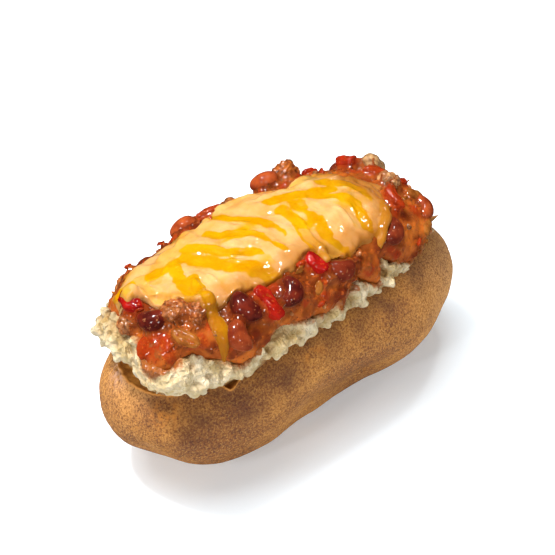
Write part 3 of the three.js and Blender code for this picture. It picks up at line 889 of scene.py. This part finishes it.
for part in (1.0, 0.9, 0.7, 0.3):
    sauce_rows.append(over_heap(part * sauce_edge, sauce_angles, 0 * sauce_angles - 1.2))
bound = [(closed(np.stack(sauce_rows)), ring_faces(len(sauce_rows), CHILI_AROUND))]
morsels = []  # mince and soft tomato too small to be pieces, wholly under the sauce
rho, degrees = scattered(random, MORSELS, lambda d: 0.3, lambda d: 0.94 * chili_edge(d))
sizes = random.uniform(2.4, 5.0, size=MORSELS)
places = over_heap(rho, degrees, random.uniform(1.6, 3.6, size=MORSELS))
for first, kind in enumerate(("tomato", "beef", "bean")):
    own = strewn(random, 2, 5, sizes[first::3], (1.25, 0.95, 0.75), places[first::3])
    morsels.append((kind, *own))
    bound.append(own)
for kind, points, faces in solids:
    middle = points.mean(0)
    bound.append((middle + (points - middle) * 0.97, faces))
coat_points, coat_quads = fused(*stacked(bound), BOUND_SQUARES, 1)
coat_points = coat_points + CLING * point_normals(coat_points, coat_quads)
sauce_points, sauce_quads = fused(coat_points, coat_quads.tolist(), SAUCE_SQUARES, 2)
sauce_points = sauce_points - (CLING + 0.05) * point_normals(sauce_points, sauce_quads)
sauce_points = relaxed(sauce_points, sauce_quads, 1)
sauce_out = point_normals(sauce_points, sauce_quads)
minced = ease(soft_noise(sauce_points, 11, 44), -0.25, 0.25)

# What lies just under the sauce shows through it.
by_piece = kdtree.KDTree(sum(len(points) for kind, points, faces in solids + morsels))
kinds_under = []
for kind, points, faces in solids + morsels:
    for point in points.tolist():
        by_piece.insert(point, len(kinds_under))
        kinds_under.append(kind)
by_piece.balance()
found = [by_piece.find(p) for p in sauce_points.tolist()]
close = 1 - ease(np.array([f[2] for f in found]), 0.3, 1.5)
kind_found = np.array([kinds_under[f[1]] for f in found])
film = {kind: close * (kind_found == kind) for kind in ("bean", "tomato", "beef")}
knobbly = (0.5 + 0.5 * minced) * (1.1 * crumbs_relief(sauce_points, 2.0) - 0.5)
knobbly += 0.15 * soft_noise(sauce_points, 1.4, 45)
knobbly *= 1 - 0.8 * film["bean"] - 0.5 * film["tomato"]
sauce_points = sauce_points + sauce_out * (0.8 * knobbly)[:, None]
smoother = relaxed(sauce_points, sauce_quads, 30)
# Painted shade: the sauce is darkened in its hollows, between lumps and round pieces.
hollow_shade = ease(((smoother - sauce_points) * sauce_out).sum(1), 0.05, 0.45)
facing_up = ease(sauce_out[:, 2], -0.2, 0.5)
nearest = np.array([by_rho.find(p)[1] for p in sauce_points.tolist()])
part = rho_grid.ravel()[nearest] / chili_edge(angle_grid.ravel()[nearest])
# Painted shade: the sauce is darker high up near the cheese, which overhangs it, but not at the far end.
dark = 1 - ease(part + 0.12 * soft_noise(sauce_points, 5, 47), 0.55, 0.85)
dark *= 1 - ease(sauce_points[:, 0], 22, 42)

chili_finish, start, place = new_finish("chili_sauce")
rich = grain(place, 6.5, 3.0).between(0.36, 0.62)
colour = rich.choose(tone(128, 54, 18), tone(180, 94, 32))
mince = mark(start, "minced") * grain(place, 1.4, 2.0).between(0.45, 0.6)
colour = (mince * 0.5).choose(colour, tone(110, 48, 16))
# Painted shade near the cheese.
colour = (mark(start, "dark") * 0.5).choose(colour, tone(76, 24, 8))
colour = (mark(start, "bean") * 0.75).choose(colour, tone(88, 26, 12))
colour = (mark(start, "tomato") * 0.75).choose(colour, tone(142, 38, 10))
colour = (mark(start, "beef") * 0.7).choose(colour, tone(120, 58, 26))
# Painted shade in the hollows.
colour = (mark(start, "hollow_shade") * 0.9).choose(colour, tone(50, 16, 6))
colour = (grain(place, 1.0, 1.0).between(0.62, 0.7) * 0.4).choose(colour, tone(200, 96, 34))
colour = (grain(place, 0.45, 0.0).between(0.73, 0.77) * 0.6).choose(colour, tone(60, 26, 14))
finish_with(
    start,
    Base_Color=colour,
    Roughness=0.35,
    Specular_IOR_Level=0.05,
    Subsurface_Weight=0.2,
    Subsurface_Radius=(1.0, 0.3, 0.06),
    Subsurface_Scale=1.4 * MM,
    Coat_Weight=0.8 + 0.2 * mark(start, "facing_up"),
    Coat_Roughness=0.06,
    Coat_IOR=1.45,
    Normal=bump(grain(place, 1.1, 2.0), 0.2, 0.4),
)
chili_marks = {"minced": minced, "hollow_shade": hollow_shade, "facing_up": facing_up, "dark": dark, **film}
chili_sauce = make_piece("chili_sauce", sauce_points, sauce_quads, chili_finish, chili_marks)
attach(chili_sauce, "root")
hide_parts("chili")

# ---- Melted cheese ----
# Grated cheese of two kinds, deep yellow and pale, melted over the chili under heat.
# The shreds have slumped into one glossy sheet, but still show as soft ridges, and some run down in front.
CHEESE_OUTLINE = [  # in plan, from the near end round the front
    *[(-64, 1.5), (-57.5, -0.5), (-52, -12), (-49.5, -19), (-42, -18.5), (-33, -18), (-24, -20.5)],
    *[(-10, -19), (-4, -18.5), (1, -21), (4.5, -24), (9.5, -24.5), (14, -22), (19, -23), (27, -22)],
    *[(35, -17), (38, -12), (39, -5), (35, 7), (30, 13), (24, 16), (12.5, 12), (10, 21), (0, 22)],
    *[(-7, 21), (-13, 20), (-19, 18.5), (-26, 20), (-33, 20), (-41, 19.5), (-50, 18), (-59, 15), (-66, 10)],
]
SHREDS = [  # path in plan, half its width, how deep a yellow
    ([(-58, 3), (-48, 1), (-40, 6), (-28, 10)], 3.4, 0.15),
    ([(-51, 5), (-44, 10), (-34, 12), (-24, 14)], 3.0, 0.5),
    ([(-30, 12), (-18, 16), (-6, 19), (6, 18)], 3.0, 0.4),
    ([(-10, 12), (2, 12), (14, 9), (26, 8)], 3.4, 0.2),
    ([(10, 17), (16, 12), (26, 13), (34, 10)], 2.8, 0.5),
    ([(18, 8), (28, 5), (38, 0), (42, -6)], 3.0, 0.3),
    ([(-61, 10), (-56, 8), (-48, 6.5), (-41, 6), (-33, 7)], 2.2, 1.0),
    ([(-24, 10.5), (-19, 5.5), (-14, 0), (-11.5, -7), (-10, -12.5)], 2.3, 1.0),
    ([(-34, 9), (-30, 3.5), (-25.5, -2), (-20, -6.5), (-15, -8)], 2.4, 0.95),
    ([(-36, 4), (-33, -2), (-29, -8), (-25, -13), (-22, -18)], 3.6, 0.85),
    ([(-43, 4), (-46.5, -2), (-47.5, -7), (-46, -12), (-45, -16)], 2.3, 1.0),
    ([(-41, -2), (-40, -8), (-41, -13.5), (-41.5, -17)], 2.6, 0.0),
    ([(-23, 1), (-16.5, -2.5), (-14.5, -7), (-15, -16)], 2.2, 0.1),
    ([(-6.5, 5), (-2.5, 2.5), (0, -1.5), (1, -8)], 2.6, 0.05),
    ([(3.5, 10), (11, 6.5), (18, 3.5), (25, 2)], 2.4, 1.0),
    ([(9, 3), (10, -3.5), (8.5, -10), (7, -16), (8, -21)], 3.0, 0.9),
    ([(14, -3), (15, -9), (14, -14), (12, -19)], 4.2, 0.0),
    ([(25, 7), (29, 3), (33, -3), (34, -11), (35, -15)], 2.3, 0.75),
    ([(16.5, 3.5), (21, -1.5), (25, -7), (24.5, -13), (22, -19)], 2.2, 0.9),
    ([(3, 3.5), (3, -3.5), (-0.5, -12), (-1, -18), (-2, -23)], 2.3, 1.0),
    ([(0.5, -10), (-0.7, -16), (1, -20), (5, -22.5)], 2.0, 0.55),
    ([(-15, 17), (-10, 9), (-6, 2), (-6, -6)], 2.4, 0.8),
    ([(-54, 9), (-56, 3), (-55, -4), (-53, -9)], 2.2, 0.5),
    ([(-8, -4), (-8, -11), (-7, -17)], 2.8, 0.3),
    ([(36, 6), (38, -2), (36, -10), (31, -17)], 2.4, 0.35),
]
DRIPS = [  # path in plan of a run down the front, half its width, how deep a yellow
    ([(-43, -5), (-46.4, -13), (-47.3, -19.6), (-48.4, -24.5), (-50.5, -27.5)], 2.3, 0.8),
    ([(35, -14), (30.5, -19), (25, -22.6), (21.5, -24.5)], 1.9, 0.6),
    ([(1, -18), (-1.5, -22), (-2.0, -25)], 1.9, 0.6),
]
GRID = 0.6  # squares of the sheet, in plan
CHEESE_LOWEST = 52.0  # how high it hangs where nothing is under it
CHEESE_THICK = 1.9
CHEESE_EDGE = 2.2  # how far in its rounded edge reaches
CHEESE_SQUARES = 0.46  # how fine its mesh is
RIDGE_HALF = 0.75  # half the width of the raised edges of the broader shreds
DRIP_TALL, RIDGE_TALL, SHRED_TALL = 1.3, 0.8, 0.5


def curve_through(corners, steps):
    """A smooth line through points in plan."""
    p = np.array([corners[0], *corners, corners[-1]], float)
    t = np.linspace(0, 1, steps, endpoint=False)[:, None]
    parts = [
        0.5 * (2 * b + (c - a) * t + (2 * a - 5 * b + 4 * c - d) * t**2 + (3 * b - a - 3 * c + d) * t**3)
        for a, b, c, d in zip(p, p[1:], p[2:], p[3:])
    ]
    return np.concatenate([*parts, p[-1:]])


def to_line(places, line):
    """How far places in plan lie from a line, and how far along it the nearest point is, from 0 to 1."""
    best, along = np.full(len(places), 1e9), np.zeros(len(places))
    for k, (a, b) in enumerate(zip(line, line[1:])):
        t = np.clip((places - a) @ (b - a) / max(((b - a) ** 2).sum(), 1e-9), 0, 1)
        far = np.linalg.norm(places - a - t[:, None] * (b - a), axis=1)
        along = np.where(far < best, (k + t) / (len(line) - 1), along)
        best = np.minimum(far, best)
    return best, along


def inside_line(places, line):
    x, y = places.T
    crossings = np.zeros(len(places), int)
    for (x1, y1), (x2, y2) in zip(line, np.roll(line, -1, 0)):
        if y1 != y2:
            crossings += ((y1 > y) != (y2 > y)) & (x < (x2 - x1) * (y - y1) / (y2 - y1) + x1)
    return crossings % 2 == 1


chili_shapes = [(sauce_points, sauce_quads)]
chili_shapes += [(points, faces) for kind, points, faces in solids]
chili_points, chili_faces = stacked(chili_shapes)
under_cheese = BVHTree.FromPolygons(chili_points.tolist(), chili_faces)
sauce_tree = BVHTree.FromPolygons(sauce_points.tolist(), sauce_quads.tolist())
grid_x, grid_y = np.arange(-76, 56, GRID), np.arange(-36, 34, GRID)
plan = np.stack(np.meshgrid(grid_x, grid_y, indexing="ij"), -1)
ground = np.full(plan.shape[:2], CHEESE_LOWEST)
for i, x in enumerate(grid_x):
    for k, y in enumerate(grid_y):
        hit = under_cheese.ray_cast(Vector((x, y, 120)), Vector((0, 0, -1)))[0]
        if hit is not None:
            ground[i, k] = max(hit.z, CHEESE_LOWEST)


def blurred(values, width):
    """Values on the grid, smoothed over about width millimetres."""
    reach = int(3 * width / GRID)
    kernel = np.exp(-((np.arange(-reach, reach + 1) * GRID / width) ** 2) / 2)
    kernel /= kernel.sum()
    for axis in (0, 1):
        padded = np.pad(values, [(reach, reach) if a == axis else (0, 0) for a in (0, 1)], "edge")
        values = np.apply_along_axis(lambda row: np.convolve(row, kernel, "valid"), axis, padded)
    return values


draped = np.maximum(blurred(ground, 1.4), blurred(ground, 0.7) - 0.3)
flat_plan = plan.reshape(-1, 2)


def draped_at(places):
    """Height of what the cheese lies on, at places in plan."""
    gx = np.clip((places[:, 0] - grid_x[0]) / GRID, 0, len(grid_x) - 1.001)
    gy = np.clip((places[:, 1] - grid_y[0]) / GRID, 0, len(grid_y) - 1.001)
    i, k = gx.astype(int), gy.astype(int)
    fx, fy = gx - i, gy - k
    near_row = draped[i, k] * (1 - fx) + draped[i + 1, k] * fx
    far_row = draped[i, k + 1] * (1 - fx) + draped[i + 1, k + 1] * fx
    return near_row * (1 - fy) + far_row * fy


outline = curve_through(CHEESE_OUTLINE + CHEESE_OUTLINE[:1], 6)[:-1]
closed_outline = np.concatenate([outline, outline[:1]])


def inwards(places):
    """How far inside the cheese's outline places in plan lie; negative outside."""
    far = to_line(places, closed_outline)[0] * np.where(inside_line(places, outline), 1, -1)
    wavy = np.concatenate([places, 0 * places[:, :1]], 1)
    return far + 1.5 * soft_noise(wavy, 5, 50) + 0.6 * soft_noise(wavy, 2.2, 51)


within = inwards(flat_plan).reshape(plan.shape[:2])
wide_plan = np.concatenate([plan, 0 * plan[..., :1]], -1)
thickness = CHEESE_THICK + 0.5 * soft_noise(wide_plan, 9, 52) + 0.25 * soft_noise(wide_plan, 4, 53)
rounding = np.sqrt(np.clip(1 - (1 - np.clip(within / CHEESE_EDGE, 0, 1)) ** 2, 0, 1))
top = draped + thickness * rounding
used = within > 0
order = np.full(used.shape, -1)
order[used] = np.arange(used.sum())
cells = used[:-1, :-1] & used[1:, :-1] & used[1:, 1:] & used[:-1, 1:]
i, k = np.nonzero(cells)
upper = np.stack([order[i, k], order[i + 1, k], order[i + 1, k + 1], order[i, k + 1]], 1)
count = used.sum()
lower = upper[:, ::-1] + count
sides = np.concatenate([upper[:, [a, (a + 1) % 4]] for a in range(4)])
both_ways = set(map(tuple, sides.tolist()))
walls = [[b, a, a + count, b + count] for a, b in sides.tolist() if (b, a) not in both_ways]
sheet_top = np.concatenate([plan[used], top[used][:, None]], 1)
sheet_low = np.concatenate([plan[used], (draped[used] - 1.0)[:, None]], 1)
melt_points = [np.concatenate([sheet_top, sheet_low])]
melt_faces = [*upper.tolist(), *lower.tolist(), *walls]

RIDGES = []  # the raised edges of the broader shreds
for path, half_width, yellow in SHREDS:
    line = curve_through(path, 6)
    ahead = unit(np.gradient(line, axis=0))
    for side in (-1, 1):
        if half_width < 3 or side > 0:
            beside = line + side * 0.8 * half_width * np.stack([-ahead[:, 1], ahead[:, 0]], 1)
            RIDGES.append((beside[4:-3:3].tolist(), RIDGE_HALF, yellow))
ROUND_SHRED = 14
tubes = [(shred, SHRED_TALL, 0.0) for shred in SHREDS]
tubes += [(drip, DRIP_TALL, 0.5) for drip in DRIPS]
tubes += [(ridge, RIDGE_TALL, 0.0) for ridge in RIDGES]
for (path, half_width, yellow), rise, raised in tubes:
    line = curve_through(path, 8)
    steps = np.linspace(0, 1, len(line))
    ends = np.sqrt(np.clip(1 - np.abs(2 * steps - 1) ** 5, 0.02, 1))
    sway = np.concatenate([line, 0 * line[:, :1]], 1)
    half = half_width * ends * (1 + 0.4 * soft_noise(sway, 6, 54))
    on_sheet = np.clip(inwards(line) / CHEESE_EDGE, 0, 1)
    height = draped_at(line) + CHEESE_THICK * 0.75 * on_sheet + raised
    middle_line = np.concatenate([line, height[:, None]], 1)
    ahead = unit(np.gradient(middle_line, axis=0))
    sideways = unit(np.cross(ahead, [0, 0, 1.0]))
    above = np.cross(sideways, ahead)
    turn = np.radians(all_round(ROUND_SHRED))
    tall = rise * ends * (1 + 0.6 * soft_noise(sway, 6, 59))
    tube = middle_line[:, None] + sideways[:, None] * (half[:, None] * np.cos(turn))[..., None]
    tube = tube + above[:, None] * (tall[:, None] * np.sin(turn))[..., None]
    first = sum(len(p) for p in melt_points)
    tube_points = np.concatenate([[middle_line[0]], tube.reshape(-1, 3), [middle_line[-1]]])
    melt_faces += [[first + v for v in f] for f in ring_faces(len(line), ROUND_SHRED)]
    melt_points.append(tube_points)

cheese_points, cheese_quads = fused(np.concatenate(melt_points), melt_faces, CHEESE_SQUARES, 2)
cheese_out = point_normals(cheese_points, cheese_quads)
waves = 0.6 * soft_noise(cheese_points, 9, 60) + 0.4 * soft_noise(cheese_points, 4, 55)
waves += 0.07 * soft_noise(cheese_points, 1.6, 56)
cheese_points = cheese_points + cheese_out * waves[:, None]
cheese_plan = cheese_points[:, :2]
deep = 0.35 + 0.5 * soft_noise(cheese_points * [0.5, 1, 1], 7, 57)
for path, half_width, yellow in SHREDS + DRIPS:
    line = curve_through(path, 4)
    far, along = to_line(cheese_plan, line)
    fuzzy = 0.35 * soft_noise(cheese_points, 3, 58)
    cover = 1 - ease(far / half_width + fuzzy, 0.75, 1.15)
    deep = deep * (1 - cover) + yellow * cover
# Amber: near its thin edge the chili shows through the cheese; the rest is painted shade on steep slopes,
# along the front and at the far end.
steep = 1 - ease(cheese_out[:, 2], 0.45, 0.98)
rim_near = 1 - ease(inwards(cheese_plan), 0.5, 11.0)
far_end = ease(cheese_plan[:, 0], 20, 36)
front_and_far_shade = np.clip(ease(-cheese_plan[:, 1], 4, 16) + 1.3 * far_end, 0, 1)
amber_and_shade = 0.4 * steep + 0.7 * rim_near * front_and_far_shade + 0.35 * far_end + 0.2 * soft_noise(cheese_points, 6, 61)
cheese_marks = {"deep": np.clip(deep, 0, 1), "amber_and_shade": np.clip(amber_and_shade, 0, 1)}

cheese_finish, start, place = new_finish("melted_cheese")
marbled = grain(place, 4.0, 2.0).between(0.35, 0.65)
pale = marbled.choose(tone(208, 162, 104), tone(202, 146, 80))
yellow = marbled.choose(tone(192, 142, 4), tone(186, 126, 0))
colour = mark(start, "deep").between(0.3, 0.7).choose(pale, yellow)
# Amber is partly the chili showing through the thin edge and partly painted shade.
colour = (mark(start, "amber_and_shade") * 0.85).choose(colour, tone(144, 82, 14))
finish_with(
    start,
    Base_Color=colour,
    Roughness=0.3,
    Subsurface_Weight=0.4,
    Subsurface_Radius=(1.0, 0.6, 0.2),
    Subsurface_Scale=2.2 * MM,
    Specular_IOR_Level=0.1,
    Coat_Weight=0.9,
    Coat_Roughness=0.06,
    Normal=bump(grain(place, 1.8, 2.0), 0.35, 0.6),
)
melted_cheese = make_piece("melted_cheese", cheese_points, cheese_quads, cheese_finish, cheese_marks)
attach(melted_cheese, "root")
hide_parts("cheese")

# ---- Bits in the sauce ----
# Small bits of the same things stuck to the sauce where no cheese covers it: mince, tomato and onion.
# Each is a ball with flat facets, squashed and turned at random, and sunk in the sauce by half.
for name, kind, count, sizes, squash, finish, marks in (
    ("beef_bits", "beef", 16, (1.8, 3.2), (1, 0.9, 0.7), beef_finish, {"pale": 0.3}),
    ("tomato_bits", "tomato", 14, (1.8, 4.0), (1.4, 0.8, 0.45), tomato_finish, {"orange": 0.6}),
    ("onion_bits", "onion", 8, (1.8, 3.6), (1.5, 0.8, 0.35), onion_finish, {}),
):
    rho, degrees = scattered(random, count * 10, lambda d: 0.3, lambda d: 0.95 * chili_edge(d))
    above = over_heap(rho, degrees, 8.0 + 0 * rho)
    open_places = above[inwards(above[:, :2]) < -1.0]
    on_sauce = np.array([sauce_tree.find_nearest(Vector(p))[0] for p in open_places.tolist()])
    from_pieces = np.array([by_piece.find(p)[2] for p in on_sauce.tolist()])
    on_sauce = on_sauce[from_pieces > 0.6][:count]
    sizes = random.uniform(*sizes, size=len(on_sauce))
    points, faces = strewn(random, 2, 5, sizes, squash, on_sauce)
    points = points + 0.15 * np.stack([soft_noise(points, 0.8, 46 + k) for k in range(3)], 1)
    bits = make_piece(name, points, faces, finish, marks)
    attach(bits, "root")

# ---- Studio ----
# A plain white floor, a large soft light from the back left, two to fill, four small ones, and the camera.
# Only the small lights show in wet surfaces, as crisp dots, so that the colours under the wet stay deep.
floor_finish, start, place = new_finish("white_floor")
finish_with(
    start,
    Base_Color=(0.86, 0.94, 1.0, 1),
    Roughness=0.9,
    Specular_IOR_Level=0.1,
    Emission_Color=(1, 1, 1, 1),
    Emission_Strength=0.14,
)
floor_mesh = bpy.data.meshes.new("floor")
floor_mesh.from_pydata([(-4, -4, 0), (4, -4, 0), (4, 4, 0), (-4, 4, 0)], [], [(0, 1, 2, 3)])
floor_mesh.materials.append(floor_finish)
floor = bpy.data.objects.new("floor", floor_mesh)
bpy.context.scene.collection.objects.link(floor)
floor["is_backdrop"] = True
floor.visible_glossy = False


def soft_light(name, place, size, watts, shine=True, shadow=True):
    lamp = bpy.data.lights.new(name, "AREA")
    lamp.shape = "RECTANGLE"
    lamp.size, lamp.size_y = size
    lamp.energy = watts
    lamp.use_shadow = shadow
    thing = bpy.data.objects.new(name, lamp)
    thing.location = place
    thing.rotation_euler = (Vector((0, 0, 0.04)) - Vector(place)).to_track_quat("-Z", "Y").to_euler()
    thing.visible_glossy = shine
    bpy.context.scene.collection.objects.link(thing)


soft_light("key", (-0.24, 0.2, 1.1), (0.9, 0.9), 12, shine=False)
soft_light("glint", (-0.25, 0.25, 1.0), (0.13, 0.13), 10)
soft_light("left_glint", (-0.87, -0.23, 0.63), (0.14, 0.14), 2)
soft_light("right_glint", (0.35, 0.1, 1.1), (0.1, 0.1), 1.6)
soft_light("front_glint", (-0.33, -0.9, 0.55), (0.14, 0.14), 2)
soft_light("left_fill", (-0.9, -0.7, 0.6), (0.5, 0.5), 2.2, shine=False)
soft_light("front_fill", (0.7, -0.9, 0.7), (0.5, 0.5), 3.2, shine=False, shadow=False)

world = bpy.data.worlds.new("studio")
world.use_nodes = True
background = world.node_tree.nodes["Background"].inputs
background["Color"].default_value = (1, 1, 1, 1)
background["Strength"].default_value = 0.14
bpy.context.scene.world = world
world.cycles_visibility.glossy = False

ELEVATION, AZIMUTH, DISTANCE = 38.0, -43.0, 0.53
TARGET = Vector((-0.00248, -0.00065, 0.0517))
elevation, azimuth = math.radians(ELEVATION), math.radians(AZIMUTH)
back = Vector(
    (
        math.sin(azimuth) * math.cos(elevation),
        -math.cos(azimuth) * math.cos(elevation),
        math.sin(elevation),
    )
)
lens = bpy.data.cameras.new("camera")
lens.lens, lens.sensor_width = 100, 36
lens.clip_start = 0.01
camera = bpy.data.objects.new("camera", lens)
camera.location = TARGET + back * DISTANCE
camera.rotation_mode = "QUATERNION"
camera.rotation_quaternion = (-back).to_track_quat("-Z", "Y")
bpy.context.scene.collection.objects.link(camera)
bpy.context.scene.camera = camera
bpy.context.scene.view_settings.view_transform = "Standard"

visual_low, visual_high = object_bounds()
sizes = {"cad": [list(cad_low), list(cad_high)], "visual": [list(visual_low), list(visual_high)]}
